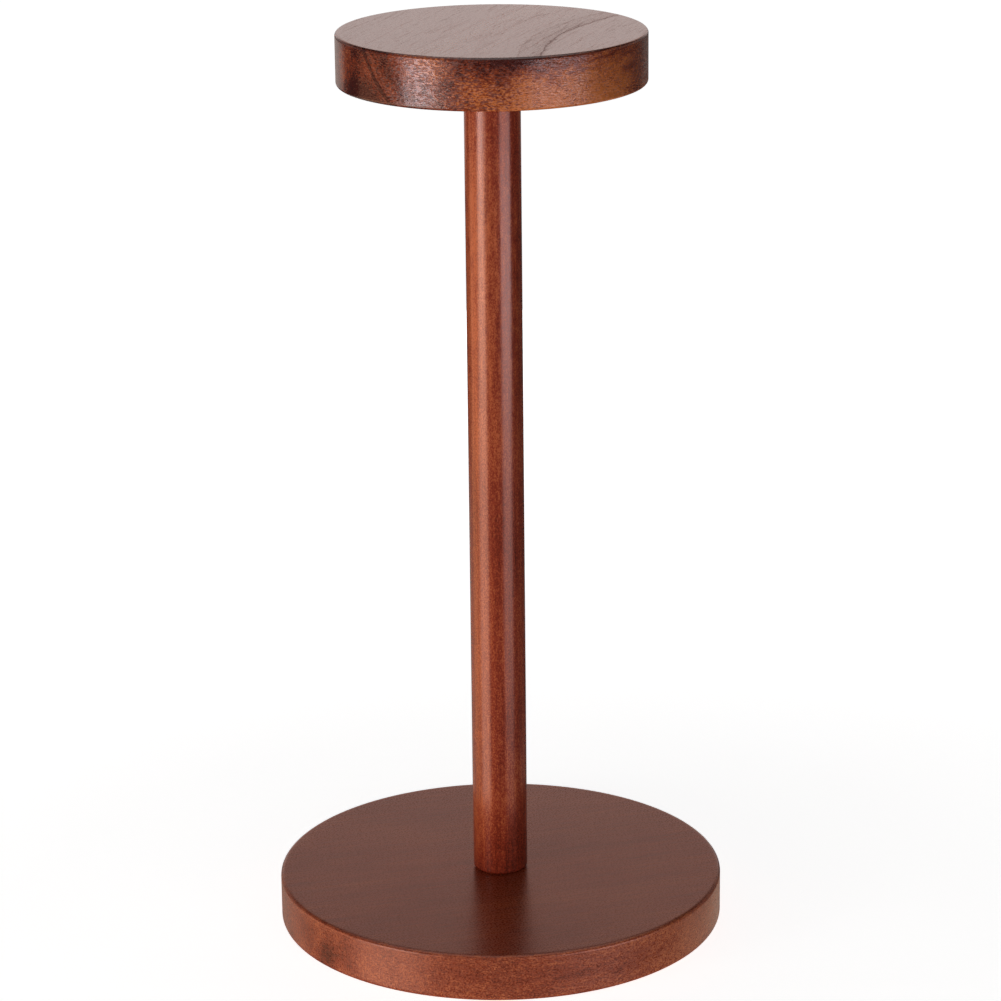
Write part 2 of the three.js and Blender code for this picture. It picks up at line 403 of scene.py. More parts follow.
bolt = add_rod("furniture_bolt", HEAD_RADIUS, HEAD_SEAT - HEAD_RIM, HEAD_SEAT, HARDWARE_SIDES)
crown = HEAD_HEIGHT - HEAD_RIM
crown_circle = (HEAD_RADIUS**2 + crown**2) / (2 * crown)
select_cap(bolt, HEAD_SEAT - HEAD_RIM)
radius_now, drop_now = HEAD_RADIUS, 0
for ring in range(1, CROWN_RINGS):
    radius = HEAD_RADIUS * (1 - ring / CROWN_RINGS)
    drop = math.sqrt(crown_circle**2 - radius**2) - (crown_circle - crown)
    bpy.ops.mesh.inset(thickness=radius_now - radius, depth=drop - drop_now)
    radius_now, drop_now = radius, drop

# %% Thread the bolt and cut its socket
def pointed_blank(radius, low, high, chamfer):
    """A rod with its upper end chamfered, to trim a thread with."""
    blank = add_rod("blank", radius, low, high, HARDWARE_SIDES)
    ease_rim(blank, high, radius, chamfer, 1)
    let_go()
    return blank


shank = add_thread("shank", SCREW_RADIUS, M6_ROOT, M6_PITCH, HEAD_SEAT - OVERLAP, BOLT_HIGH)
trim = pointed_blank(SCREW_RADIUS + SLACK, HEAD_SEAT - PAST, BOLT_HIGH, TIP_CHAMFER)
combine(shank, trim, "INTERSECT")
combine(bolt, shank, "UNION")
combine(bolt, add_key(BOLT_KEY_FLATS, BOLT_LOW, BOLT_KEY_DEPTH), "DIFFERENCE")
smooth(bolt, HARDWARE_SHARP)

# %% Punch the washer
WASHER_HOLE = SCREW_RADIUS + SEAT_GAP
WASHER_EDGE = 0.3 * MM
SMALL_EASE_STEPS = 4

washer = add_rod("washer", WASHER_RADIUS, WASHER_LOW, WASHER_HIGH, HARDWARE_SIDES)
ease_rim(washer, WASHER_LOW, WASHER_RADIUS, WASHER_EDGE, SMALL_EASE_STEPS)
select_cap(washer, WASHER_LOW)
bpy.ops.mesh.inset(thickness=WASHER_RADIUS - WASHER_EDGE - WASHER_HOLE)
select_cap(washer, WASHER_HIGH, WASHER_RADIUS)
bpy.ops.mesh.inset(thickness=WASHER_RADIUS - WASHER_HOLE)
bridge_hole(washer, WASHER_HOLE)
smooth(washer)

# %% [markdown]
# ## The threaded inserts
# An insert is driven into the wood with a hexagon key. Its outside is a coarse, knife-edged
# thread under a flange, and its inside is threaded for the bolt. The outer thread and the
# flange are joined first, and the bore is then cut with a threaded rod of its own.

# %% Make one insert for each joint
FLANGE_EASE = 0.25 * MM
FLANGE_EASE_STEPS = 3
INSERT_ROOT = 4.2 * MM
INSERT_PITCH = 2.5 * MM
INSERT_TAPER = 1 * MM
INSERT_KEY_FLATS = 6.9 * MM
INSERT_KEY_DEPTH = 4 * MM
BORE_CREST = 3.25 * MM
BORE_ROOT = 2.7 * MM


def make_insert(name, low, high):
    """A threaded insert, flange down."""
    insert = add_rod(name, FLANGE_RADIUS, low, low + FLANGE_THICKNESS, HARDWARE_SIDES)
    ease_rim(insert, low, FLANGE_RADIUS, FLANGE_EASE, FLANGE_EASE_STEPS)
    body_low = low + FLANGE_THICKNESS - OVERLAP
    body = add_thread("body", INSERT_RADIUS, INSERT_ROOT, INSERT_PITCH, body_low, high, KNIFE_FLAT)
    combine(body, pointed_blank(INSERT_RADIUS + SLACK, low, high, INSERT_TAPER), "INTERSECT")
    combine(insert, body, "UNION")
    bore = add_thread("bore", BORE_CREST, BORE_ROOT, M6_PITCH, low - PAST, high + PAST)
    combine(insert, bore, "DIFFERENCE")
    combine(insert, add_key(INSERT_KEY_FLATS, low, INSERT_KEY_DEPTH), "DIFFERENCE")
    return smooth(insert, HARDWARE_SHARP)


foot_insert = make_insert("foot_insert", FOOT_INSERT_LOW, FOOT_INSERT_HIGH)
top_insert = make_insert("socket_insert", TOP_INSERT_LOW, TOP_INSERT_HIGH)

# %% [markdown]
# ## The hanger bolt
# It has no head: a wood screw below, a machine thread above, and a plain collar between them. The
# screw's point is cut by keeping only what lies inside a pointed blank.

# %% Make the hanger bolt
COLLAR_RADIUS = 2.7 * MM
COLLAR_HALF = 1.5 * MM
WOOD_ROOT = 2.05 * MM
WOOD_PITCH = 2.5 * MM
POINT_LENGTH = 6 * MM
COLLAR_LOW = POLE_HIGH - COLLAR_HALF
COLLAR_HIGH = POLE_HIGH + COLLAR_HALF
POINT_HIGH = HANGER_LOW + POINT_LENGTH

hanger = add_rod("hanger_screw", COLLAR_RADIUS, COLLAR_LOW, COLLAR_HIGH, HARDWARE_SIDES)
machine_low = COLLAR_HIGH - OVERLAP
machine = add_thread("machine", SCREW_RADIUS, M6_ROOT, M6_PITCH, machine_low, HANGER_HIGH)
trim = pointed_blank(SCREW_RADIUS + SLACK, POLE_HIGH, HANGER_HIGH, TIP_CHAMFER)
combine(machine, trim, "INTERSECT")

# %% Cut the wood screw's point and join all three
wood_high = COLLAR_LOW + OVERLAP
wood = add_thread("wood", SCREW_RADIUS, WOOD_ROOT, WOOD_PITCH, HANGER_LOW, wood_high, KNIFE_FLAT)
point = add_rod("point", SCREW_RADIUS + SLACK, POINT_HIGH, POLE_HIGH, HARDWARE_SIDES)
select_cap(point, POINT_HIGH)
bpy.ops.mesh.extrude_region_move(TRANSFORM_OT_translate={"value": (0, 0, -POINT_LENGTH)})
bpy.ops.mesh.merge(type="CENTER")
let_go()
combine(wood, point, "INTERSECT")
combine(hanger, machine, "UNION")
combine(hanger, wood, "UNION")
smooth(hanger, HARDWARE_SHARP)

# %% [markdown]
# ## The foot pads
# Four thin rubber pads keep the lacquer off the table. One is modelled, with a soft lower edge and
# the shallow ring that a moulded pad has, and then copied to the places of the four solids.

# %% Mould one pad and copy it
PAD_SIDES = 96
PAD_EDGE = 0.5 * MM
PAD_RING_INSET = 2.2 * MM
PAD_RING_WIDTH = 0.8 * MM
PAD_RING_DEPTH = 0.35 * MM
PAD_NODES = sorted(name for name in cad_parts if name.startswith("foot_pad_"))

pad_low, pad_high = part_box(PAD_NODES[0])
PAD_RADIUS = (pad_high.x - pad_low.x) / 2
first_pad = add_rod("pad", PAD_RADIUS, pad_low.z, pad_high.z, PAD_SIDES)
ease_rim(first_pad, pad_low.z, PAD_RADIUS, PAD_EDGE, SMALL_EASE_STEPS)
select_cap(first_pad, pad_low.z)
bpy.ops.mesh.inset(thickness=PAD_RING_INSET)
bpy.ops.mesh.inset(thickness=PAD_RING_DEPTH, depth=-PAD_RING_DEPTH)
bpy.ops.mesh.inset(thickness=PAD_RING_WIDTH)
bpy.ops.mesh.inset(thickness=PAD_RING_DEPTH, depth=PAD_RING_DEPTH)
smooth(first_pad)

pads = []
for node in PAD_NODES:
    let_go()
    first_pad.select_set(True)
    bpy.context.view_layer.objects.active = first_pad
    low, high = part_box(node)
    step = ((low.x + high.x) / 2, (low.y + high.y) / 2, 0)
    bpy.ops.object.duplicate_move(TRANSFORM_OT_translate={"value": step})
    bpy.ops.object.transform_apply()
    pad = bpy.context.object
    pad.name = pad.data.name = node.replace("foot_pad", "rubber_foot")
    pads.append(pad)
bpy.data.objects.remove(first_pad)
print("pads:", ", ".join(pad.name for pad in pads))

# %% [markdown]
# ## Writing a material as a sum
# Node trees get long, but most of a material is arithmetic. A small class wraps one output of one
# node, so that adding or multiplying two of them adds the Math node that does it. Every other
# node comes from one method, which sets the node up before it fills its sockets.

# %% The class that does a material's sums
class Value:
    """One output in a node tree. Arithmetic on it adds Math nodes."""

    def __init__(self, tree, socket):
        self.tree = tree
        self.socket = socket

    def math(self, operation, first, second=0.0):
        return make_node(self.tree, "Math", {"operation": operation}, {0: first, 1: second})

    def __add__(self, other):
        return self.math("ADD", self, other)

    def __sub__(self, other):
        return self.math("SUBTRACT", self, other)

    def __rsub__(self, other):
        return self.math("SUBTRACT", other, self)

    def __mul__(self, other):
        return self.math("MULTIPLY", self, other)

    def __truediv__(self, other):
        return self.math("DIVIDE", self, other)

    def __abs__(self):
        return self.math("ABSOLUTE", self)

    __radd__ = __add__
    __rmul__ = __mul__


def fill(socket, value):
    """Links a value to a socket, or sets the socket to a plain number or colour."""
    if isinstance(value, Value):
        value.tree.links.new(value.socket, socket)
    else:
        socket.default_value = value


def make_node(tree, kind, settings, sockets, output=0):
    """Adds a node, sets it up, fills its sockets and gives back one of its outputs, if it has any."""
    node = tree.nodes.new("ShaderNode" + kind)
    for name, value in settings.items():
        if name == "stops":
            set_stops(node.color_ramp, value)
        else:
            setattr(node, name, value)
    for name, value in sockets.items():
        fill(node.inputs[name], value)
    return Value(tree, node.outputs[output]) if node.outputs else None


def set_stops(band, stops):
    """Gives a colour ramp its stops, each a place and a grey or a colour."""
    while len(band.elements) < len(stops):
        band.elements.new(0.5)
    for element, (place, colour) in zip(band.elements, stops):
        element.position = place
        element.color = colour if isinstance(colour, tuple) else (colour, colour, colour, 1)


# %% The nodes that this stand's materials share
def vector_math(operation, first, second=(0, 0, 0), output="Vector"):
    """A Vector Math node on a vector in a tree and a second one, which may be plain numbers."""
    return make_node(first.tree, "VectorMath", {"operation": operation}, {0: first, 1: second}, output)


def part_of(vector, axis):
    """The X, Y or Z of a vector."""
    return make_node(vector.tree, "SeparateXYZ", {}, {0: vector}, axis)


def ramp(value, stops):
    """A value led through a ramp, whose stops are a place and a grey or a colour each."""
    return make_node(value.tree, "ValToRGB", {"stops": stops}, {"Fac": value})


def fade(value, low, high, start=0.0, end=1.0):
    """Goes from start to end while a value goes from low to high."""
    limits = {"From Min": low, "From Max": high, "To Min": start, "To Max": end}
    return make_node(value.tree, "MapRange", {}, {"Value": value, **limits})


def bumped(height, strength, distance):
    """A surface's normal, tilted by the slope of a height."""
    settings = {"Strength": strength, "Distance": distance, "Height": height}
    return make_node(height.tree, "Bump", {}, settings)


# %% Start a material, and give it to a piece
def start_material(name):
    """An empty material with one Principled shader, and its node tree."""
    material = bpy.data.materials.new(name)
    material.use_nodes = True
    tree = material.node_tree
    shader = next(node for node in tree.nodes if node.type == "BSDF_PRINCIPLED")
    return material, tree, shader


def give(material, *pieces):
    """Makes a material the only one on each piece."""
    for piece in pieces:
        piece.data.materials.clear()
        piece.data.materials.append(material)
    print(f"{material.name}: on {len(pieces)}")


# %% [markdown]
# ## Stained wood
# Wood is a solid, so its figure is built in the solid and not painted on. Rings about a pith that
# lies outside the board are its light and dark years, bent in waves as growth bends them. Streaks,
# veins and pores are noise stretched along the grain, and flecks are short blotches, which show
# most on a board's side. Each of these only makes the wood a little darker or lighter, and one ramp
# turns the sum into the colour of the stain. Pores, veins, lines and open end grain also dull the
# lacquer and lie a little below its surface, and that breaks up the shine as it does on real
# wood. All sizes in the wood are millimetres, and colours are sRGB values made linear once.

# %% Colours and stretched noise
def linear(red, green, blue):
    """An sRGB colour of 0 to 255 as the linear colour that a shader takes."""
    shares = [value / 255 for value in (red, green, blue)]
    return (*[s / 12.92 if s <= 0.04045 else ((s + 0.055) / 1.055) ** 2.4 for s in shares], 1)


def stretched_noise(place, sizes, detail=2.0):
    """Noise whose blotches are so many millimetres long along X, Y and Z."""
    scaled = vector_math("MULTIPLY", place, tuple(1 / size for size in sizes))
    return make_node(place.tree, "TexNoise", {}, {"Vector": scaled, "Scale": 1, "Detail": detail})


def grain_noise(place, along, across, detail=2.0):
    """Noise stretched along the grain, which runs along X."""
    return stretched_noise(place, (along, across, across), detail)


def wood_place(tree, turn=(0, 0, 0), pith=(0, 0, 0)):
    """Object coordinates in millimetres, turned so that the grain runs along X about the pith."""
    coordinates = make_node(tree, "TexCoord", {}, {}, "Object")
    settings = {"Location": pith, "Rotation": turn, "Scale": (1 / MM, 1 / MM, 1 / MM)}
    return make_node(tree, "Mapping", {}, {"Vector": coordinates, **settings})


def from_axis(place, others):
    """How far a place is from one axis, where others has a 1 for the other two axes."""
    return vector_math("LENGTH", vector_math("MULTIPLY", place, others), output="Value")


# %% Years, lines and marks
# A span is the length that one ramp covers. Waves: size along and across the grain, and height
YEARS_SPAN = 130
YEAR_WAVES = ((70, 24, 5), (14, 7, 1.6))
UNEVEN_GROWTH = 0.3
LINES_FROM = 40
LINES_SPAN = 130
LINE_WAVES = ((30, 14, 2.5), (7, 4, 2))
LINE_BOW = 0.0034
MARK_STOPS = [(0.3, 1.0), (1.0, 0.0)]
MARK_RAGGED = (6, 3, 0.8)


def waves(place, *sizes):
    """Noise about zero that bends a figure. Sizes are along and across the grain, and high."""
    return sum((grain_noise(place, along, across) - 0.5) * high for along, across, high in sizes)


def year_rings(place, years):
    """How dark the years are, from pairs of a distance from the pith and a darkness."""
    bent = from_axis(place, (0, 1, 1)) + waves(place, *YEAR_WAVES)
    growth = bent + part_of(place, "Y") * UNEVEN_GROWTH
    return ramp(growth / YEARS_SPAN, [(far / YEARS_SPAN, dark) for far, dark in years])


def face_lines(place, lines):
    """Dark lines that the years draw on a face, from pairs of a place across it and a darkness."""
    along = part_of(place, "X")
    bowed = part_of(place, "Y") + along * along * LINE_BOW + waves(place, *LINE_WAVES)
    stops = [((across + LINES_FROM) / LINES_SPAN, dark) for across, dark in lines]
    return ramp((bowed + LINES_FROM) / LINES_SPAN, stops)


def dark_marks(place, marks_and_shade):
    """Ragged dark marks, or light ones where the strength is negative: place, size, strength. Some of the
    dark ones are painted shade.
    """
    darkness = 0
    for middle, size, strength in marks_and_shade:
        away = vector_math("DISTANCE", place, middle, "Value") / size
        darkness = darkness + ramp(away + waves(place, MARK_RAGGED), MARK_STOPS) * strength
    return darkness


# %% What the wood is made of
ORANGE = (linear(66, 15, 8), linear(146, 62, 33), linear(222, 126, 66))
BROWN = (linear(66, 22, 12), linear(137, 58, 33), linear(190, 108, 64))
RED = (linear(71, 20, 11), linear(144, 53, 33), linear(199, 102, 60))
STAIN_PLACES = (0.05, 0.5, 0.95)
MIDDLE_TONE = 0.75
LACQUER_IOR = 1.75

# Noise: size along and across the grain, and detail where it isn't the usual one
STREAKS = (24, 1.3)
FIBRES = (6, 0.5, 1.0)
CLOUDS = (60, 22)
PORES = (5, 0.5, 0)
VEINS = (24, 1.1, 1.0)

# The pores of open end grain: size along X, Y and Z, and detail
END_PORES = (2.2, 2.2, 0.55)
END_DETAIL = 1.0

# Where a noise starts to count and where it counts in full
FLECK_STOPS = [(0.36, 0.0), (0.66, 1.0)]
PORE_STOPS = [(0.56, 0.0), (0.68, 1.0)]
VEIN_STOPS = [(0.55, 0.0), (0.68, 1.0)]
END_STOPS = [(0.5, 0.0), (0.57, 1.0)]

# How far each hollow darkens the stain, dulls the lacquer and lies below the surface
PORE_EFFECTS = (0.2, 0.2, 0.4)
VEIN_EFFECTS = (0.3, 0.25, 0.5)
END_EFFECTS = (0.15, 0.3, 1.4)
LINE_EFFECTS = (0.3, 0.25, 0.5)

# How far the rest changes the stain
STREAK_CONTRAST = 0.55
FIBRE_CONTRAST = 0.25
CLOUD_CONTRAST = 0.5
YEAR_DARKENS = 0.62
FLECK_CONTRAST = 0.42
FLECK_LOSS_IN_DARK = 0.22
FLECK_ON_FACE = 0.6
FLECK_MORE_ON_SIDE = 0.6
FLECK_MORE_ON_ENDS = 0.3

# Open end grain is gone at this darkness, and flecks and streaks also dull and lift the surface
END_GONE_AT = 1.1
FLECK_DULLS = 0.1
FLECK_LIFTS = 0.12
FLECK_LIFTS_ENDS = 0.14
STREAK_LIFTS = 0.2
RELIEF_STRENGTH = 0.16
RELIEF_DEPTH = 0.4 * MM


# %% The wood itself
def stained_wood(
    name, cut, stain, *, tint, lacquer, end_grain, side_from, open_grain, fleck, years, lines, marks_and_shade
):
    """Stained and lacquered wood.

    cut is how the grain turns and where the pith lies, and stain its dark, middle and light colour.
    tint colours the shine, and lacquer is its roughness. end_grain says how open the side is, which
    starts at the radius side_from. open_grain says how far pores and veins show, and fleck is the
    size of a fleck along X, Y and Z.
    """
    material, tree, shader = start_material(name)
    place = wood_place(tree, *cut)
    upright = wood_place(tree)
    side = fade(from_axis(upright, (1, 1, 0)), side_from, side_from + 1)
    year = year_rings(place, years)
    line = face_lines(place, lines) * (1 - side)
    streaks = grain_noise(place, *STREAKS)
    flecks = ramp(stretched_noise(place, fleck), FLECK_STOPS)
    pores = ramp(grain_noise(place, *PORES), PORE_STOPS) * open_grain
    veins = ramp(grain_noise(place, *VEINS), VEIN_STOPS) * open_grain
    ends = ramp(stretched_noise(upright, END_PORES, END_DETAIL), END_STOPS)
    ends = ends * side * end_grain * (END_GONE_AT - year)

    hollows = (
        (pores, PORE_EFFECTS), (veins, VEIN_EFFECTS), (ends, END_EFFECTS), (line, LINE_EFFECTS),
    )
    darker, duller, deeper = (
        sum(hollow * effects[kind] for hollow, effects in hollows) for kind in range(3)
    )
    more_on_side = end_grain * FLECK_MORE_ON_ENDS + FLECK_MORE_ON_SIDE
    fleck_contrast = (FLECK_CONTRAST - year * FLECK_LOSS_IN_DARK) * (side * more_on_side + FLECK_ON_FACE)
    light = (
        MIDDLE_TONE
        + (streaks - 0.5) * STREAK_CONTRAST
        + (grain_noise(place, *FIBRES) - 0.5) * FIBRE_CONTRAST
        + (grain_noise(place, *CLOUDS) - 0.5) * CLOUD_CONTRAST
        + (flecks - 0.5) * fleck_contrast
        - year * YEAR_DARKENS
        - darker
        - dark_marks(place, marks_and_shade)
    )
    lift = flecks * (side * (end_grain * FLECK_LIFTS_ENDS) + FLECK_LIFTS) + streaks * STREAK_LIFTS
    fill(shader.inputs["Base Color"], ramp(light, list(zip(STAIN_PLACES, stain))))
    fill(shader.inputs["Roughness"], flecks * FLECK_DULLS + duller + lacquer)
    fill(shader.inputs["Normal"], bumped(lift - deeper, RELIEF_STRENGTH, RELIEF_DEPTH))
    shader.inputs["IOR"].default_value = LACQUER_IOR
    shader.inputs["Specular Tint"].default_value = tint
    return material


# %% [markdown]
# ## Three boards, three cuts
# In the photograph the top board's grain runs away from the camera and a little to the right, with
# the pith above it: its rings slope down the left of the rim and lie flat on the right. The years
# nearest the pith and furthest from it are dark, those between them orange, and some of them draw
# bowed lines on the face. The base's grain runs from left to right, with one dark mark low on its
# rim. The pole's grain runs up it. The marks are the lighter and darker places that the
# photograph shows, each at its own place on the stand.

# %% Turn each board in its wood
TOP_MIDDLE = (TOP_LOW + TOP_HIGH) / 2 / MM
BASE_MIDDLE = (BASE_LOW + BASE_HIGH) / 2 / MM
POLE_FOOT = POLE_LOW / MM
TOP_GRAIN = math.radians(70)
BASE_GRAIN = math.radians(17)
TOP_CUT = ((0, 0, -TOP_GRAIN), (0, 25, -TOP_MIDDLE - 47))
BASE_CUT = ((0, 0, -BASE_GRAIN), (0, 70, -BASE_MIDDLE - 60))
POLE_CUT = ((0, math.pi / 2, 0), (0, 26, 18))


def in_wood(cut, marks_and_shade):
    """Marks whose middles are places on the stand, with the middles moved into a board's wood."""
    turn, pith = cut
    turned = Matrix.Rotation(turn[2], 3, "Z") @ Matrix.Rotation(turn[1], 3, "Y")
    return [(tuple(turned @ Vector(place) + Vector(pith)), *rest) for place, *rest in marks_and_shade]


# %% The top board's wood
TOP_YEARS = [
    (35.8, 0.72), (36.5, 1.15), (37.5, 0.7), (38.3, 1.1), (39.6, 0.55), (40.3, 0.9), (41.6, 0.4),
    (42.3, 0.68), (43.5, 0.4), (46.5, 0.46), (49.5, 0.26), (55, 0.0), (58, 0.08), (62, 0.28),
    (65.8, 0.42), (66.4, 0.75), (66.9, 0.75), (67.6, 0.4), (70, 0.5), (74, 0.75), (77, 0.95),
    (79.5, 0.62), (83, 0.58), (84, 0.7), (84.5, 1.3), (85.7, 1.3), (86.3, 0.75), (92, 0.9),
    (96, 0.85), (103, 1.35), (115, 1.0),
]
TOP_LINES = [
    (-5.6, 0.0), (-4.3, 0.4), (-3.9, 1.0), (-3.5, 0.3), (-1.0, 0.22), (2.0, 0.12), (4.6, 0.25),
    (5.1, 0.5), (5.5, 0.05), (16, 0.0), (22, 0.12), (24, 0.0),
]
TOP_MARKS_AND_SHADE = [
    ((20, -40, TOP_MIDDLE + 10), 9, 0.2),
    ((6, -60, TOP_MIDDLE + 13), 14, 0.35),
    ((-8, -60, TOP_MIDDLE + 13), 14, 0.35),
    ((-57, -22, TOP_MIDDLE + 2), 12, -0.6),
    # Painted shade: the next mark darkens the far right end of the rim, where less light falls.
    ((54, -28, TOP_MIDDLE - 9), 9, 0.3),
    ((-48, -36, TOP_MIDDLE - 9), 12, 0.3),
    ((42, -43, TOP_MIDDLE - 10), 34, -0.45),
    ((17, -58, TOP_MIDDLE - 8), 17, -0.28),
    ((12, -59, TOP_MIDDLE), 8, -0.25),
    ((-16, -58, TOP_MIDDLE), 7, 0.3),
    ((-47, -37, TOP_MIDDLE + 1), 7, -0.25),
]
NEUTRAL_GLOSS = (1, 0.85, 0.82, 1)

top_wood = stained_wood(
    "top_wood", TOP_CUT, ORANGE,
    tint=NEUTRAL_GLOSS, lacquer=0.1, end_grain=1.0, side_from=58.5,
    open_grain=0.3, fleck=(0.8, 1.1, 0.5),
    years=TOP_YEARS, lines=TOP_LINES, marks_and_shade=in_wood(TOP_CUT, TOP_MARKS_AND_SHADE),
)
give(top_wood, top)

# %% The base's and the pole's wood
WARM_GLOSS = (1, 0.66, 0.55, 1)
NO_LINES = [(0, 0.0), (1, 0.0)]
BASE_YEARS = [
    (50, 0.35), (58, 0.5), (60, 0.4), (70, 0.32), (76, 0.52), (78, 0.4), (88, 0.36), (96, 0.52),
    (98, 0.4), (108, 0.34), (114, 0.5), (118, 0.36),
]
BASE_MARKS = [
    ((-69, -57, BASE_MIDDLE - 4), 8, 0.36),
    ((-61, -66, BASE_MIDDLE), 9, 0.16),
    ((-76, -46, BASE_MIDDLE + 2), 9, 0.2),
    ((68, -60, BASE_MIDDLE - 4), 45, -0.14),
]
POLE_YEARS = [(12, 0.5), (20, 0.45), (25, 0.4), (31, 0.25), (44, 0.15)]
POLE_MARKS_AND_SHADE = [
    # Painted shade: the first two darken the pole's foot where it stands on the base, the second more on
    # its right front.
    ((0, 0, POLE_FOOT), 24, 0.1),
    ((9, -7, POLE_FOOT + 10), 24, 0.25),
    ((2, -11, 170), 34, 0.1),
    ((-8, -8, 66), 14, 0.15),
    ((-12, -30, 62), 34, -0.4),
    ((-60, -45, 275), 85, -0.5),
    ((-5, -10, 36), 14, -0.14),
]

base_wood = stained_wood(
    "base_wood", BASE_CUT, BROWN,
    tint=WARM_GLOSS, lacquer=0.24, end_grain=0.3, side_from=88.5,
    open_grain=0.06, fleck=(0.8, 0.5, 0.5),
    years=BASE_YEARS, lines=NO_LINES, marks_and_shade=in_wood(BASE_CUT, BASE_MARKS),
)
pole_wood = stained_wood(
    "pole_wood", POLE_CUT, RED,
    tint=WARM_GLOSS, lacquer=0.16, end_grain=0.0, side_from=10.0,
    open_grain=0.04, fleck=(0.7, 0.45, 0.45),
    years=POLE_YEARS, lines=NO_LINES, marks_and_shade=in_wood(POLE_CUT, POLE_MARKS_AND_SHADE),
)
give(base_wood, base)
give(pole_wood, pole)

# %% [markdown]
# ## Zinc plate and rubber
# The hardware is steel under a thin zinc plate: bright on the screws, yellow on the inserts. It is
# tumbled, so it is softly mottled and never mirror-smooth. The rubber of the pads is nearly black,
# matt, and finely pebbled from its mould. All three are the same recipe with other numbers: broad
# blotches between two tones, and a fine grit that only the light shows.

# %% Zinc plate and rubber
BLOTCH_DETAIL = 3.0
GRIT_DETAIL = 1.0


def mottled(name, tones, blotch, grit, rough, rougher, bump, metallic=0.0):
    """A surface with blotches between two tones, rougher in the paler ones, and a fine grit."""
    material, tree, shader = start_material(name)
    place = wood_place(tree)
    blotches = grain_noise(place, blotch, blotch, BLOTCH_DETAIL)
    fill(shader.inputs["Base Color"], ramp(blotches, tones))
    fill(shader.inputs["Roughness"], blotches * rougher + rough)
    fill(shader.inputs["Normal"], bumped(grain_noise(place, grit, grit, GRIT_DETAIL), *bump))
    shader.inputs["Metallic"].default_value = metallic
    return material


BRIGHT_TONES = [(0.3, linear(178, 182, 188)), (0.7, linear(214, 217, 220))]
YELLOW_TONES = [(0.3, linear(176, 152, 98)), (0.7, linear(214, 196, 132))]
RUBBER_TONES = [(0.35, linear(24, 23, 23)), (0.8, linear(52, 50, 48))]
PLATE = {
    "blotch": 2.5, "grit": 0.25, "rough": 0.22, "rougher": 0.2, "bump": (0.08, 0.1 * MM), "metallic": 1.0,
}
RUBBER = {"blotch": 4, "grit": 0.35, "rough": 0.6, "rougher": 0.25, "bump": (0.35, 0.15 * MM)}

give(mottled("bright_zinc", BRIGHT_TONES, **PLATE), bolt, washer, hanger)
give(mottled("yellow_zinc", YELLOW_TONES, **PLATE), foot_insert, top_insert)
give(mottled("pad_rubber", RUBBER_TONES, **RUBBER), *pads)

# %% [markdown]
# ## Each piece takes its solid's place
# A new piece hides the solid that it stands for and rides on the same body.

# %% Replace the solids
PLACES = [
    (base, "base_disc", "stained_wood"),
    (pole, "pole", "stained_wood"),
    (top, "top_disc", "stained_wood"),
    (bolt, "base_bolt", "zinc_steel"),
    (washer, "base_washer", "zinc_steel"),
    (hanger, "hanger_bolt", "zinc_steel"),
    (foot_insert, "pole_insert", "yellow_zinc"),
    (top_insert, "top_insert", "yellow_zinc"),
]
PLACES += [(pad, node, "black_rubber") for pad, node in zip(pads, PAD_NODES)]
for piece, node, finish in PLACES:
    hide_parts(node)
    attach(piece, "root")
print("pieces in place:", len(PLACES))

# %% [markdown]
# ## The paper
# A sheet of white paper lies under the stand. The camera sees it as white, a little less so right
# round the base, so that the stand doesn't float. For all other rays it glows, a painted bounce
# light that fades away from the base. The lacquer mirrors no floor in the photograph, so
# reflections don't see it.

# %% Lay the paper
PAPER_SIZE = 12
PAPER_WHITE = (0.8, 0.8, 0.8, 1)

# Between two distances from the middle, the strength goes from one value to another
SEEN_WHITE = (0.2, 0.7, 0.87, 1.0)
# Painted bounce light: the paper's glow for all rays but the camera's
BOUNCE_GLOW = (0.12, 0.3, 0.85, 0.05)

let_go()
bpy.ops.mesh.primitive_plane_add(size=PAPER_SIZE)
paper = bpy.context.object
paper.name = "paper"
paper.visible_glossy = False
paper.visible_shadow = False
paper_material = bpy.data.materials.new("paper")
paper_material.use_nodes = True
tree = paper_material.node_tree
tree.nodes.clear()
away = vector_math("LENGTH", make_node(tree, "TexCoord", {}, {}, "Object"), output="Value")
seen = make_node(tree, "LightPath", {}, {}, "Is Camera Ray")
strength = fade(away, *SEEN_WHITE) * seen + (1 - seen) * fade(away, *BOUNCE_GLOW)
glow = make_node(tree, "Emission", {}, {"Strength": strength})
matt = make_node(tree, "BsdfDiffuse", {}, {"Color": PAPER_WHITE})
surface = make_node(tree, "AddShader", {}, {0: glow, 1: matt})
make_node(tree, "OutputMaterial", {}, {"Surface": surface})
give(paper_material, paper)

# %% [markdown]
# ## The studio lights
# In the photograph two upright stripes run down the lacquer, the left one the brighter, and both
# change their strength and warmth with height. So the softboxes hang a metre from the stand, one
# above the other, each between two bearings and two heights. Most are there for the shine alone.
# Three wide ones do the opposite: they light the wood softly and show in no reflection. Only the
# two at the upper left do both, as the main light.

# %% Set up the softboxes
SHINE = "shine"
FILL = "fill"
BOTH = "both"
WHITE = (1, 1, 1)
SOFTBOX_DISTANCE = 1.0


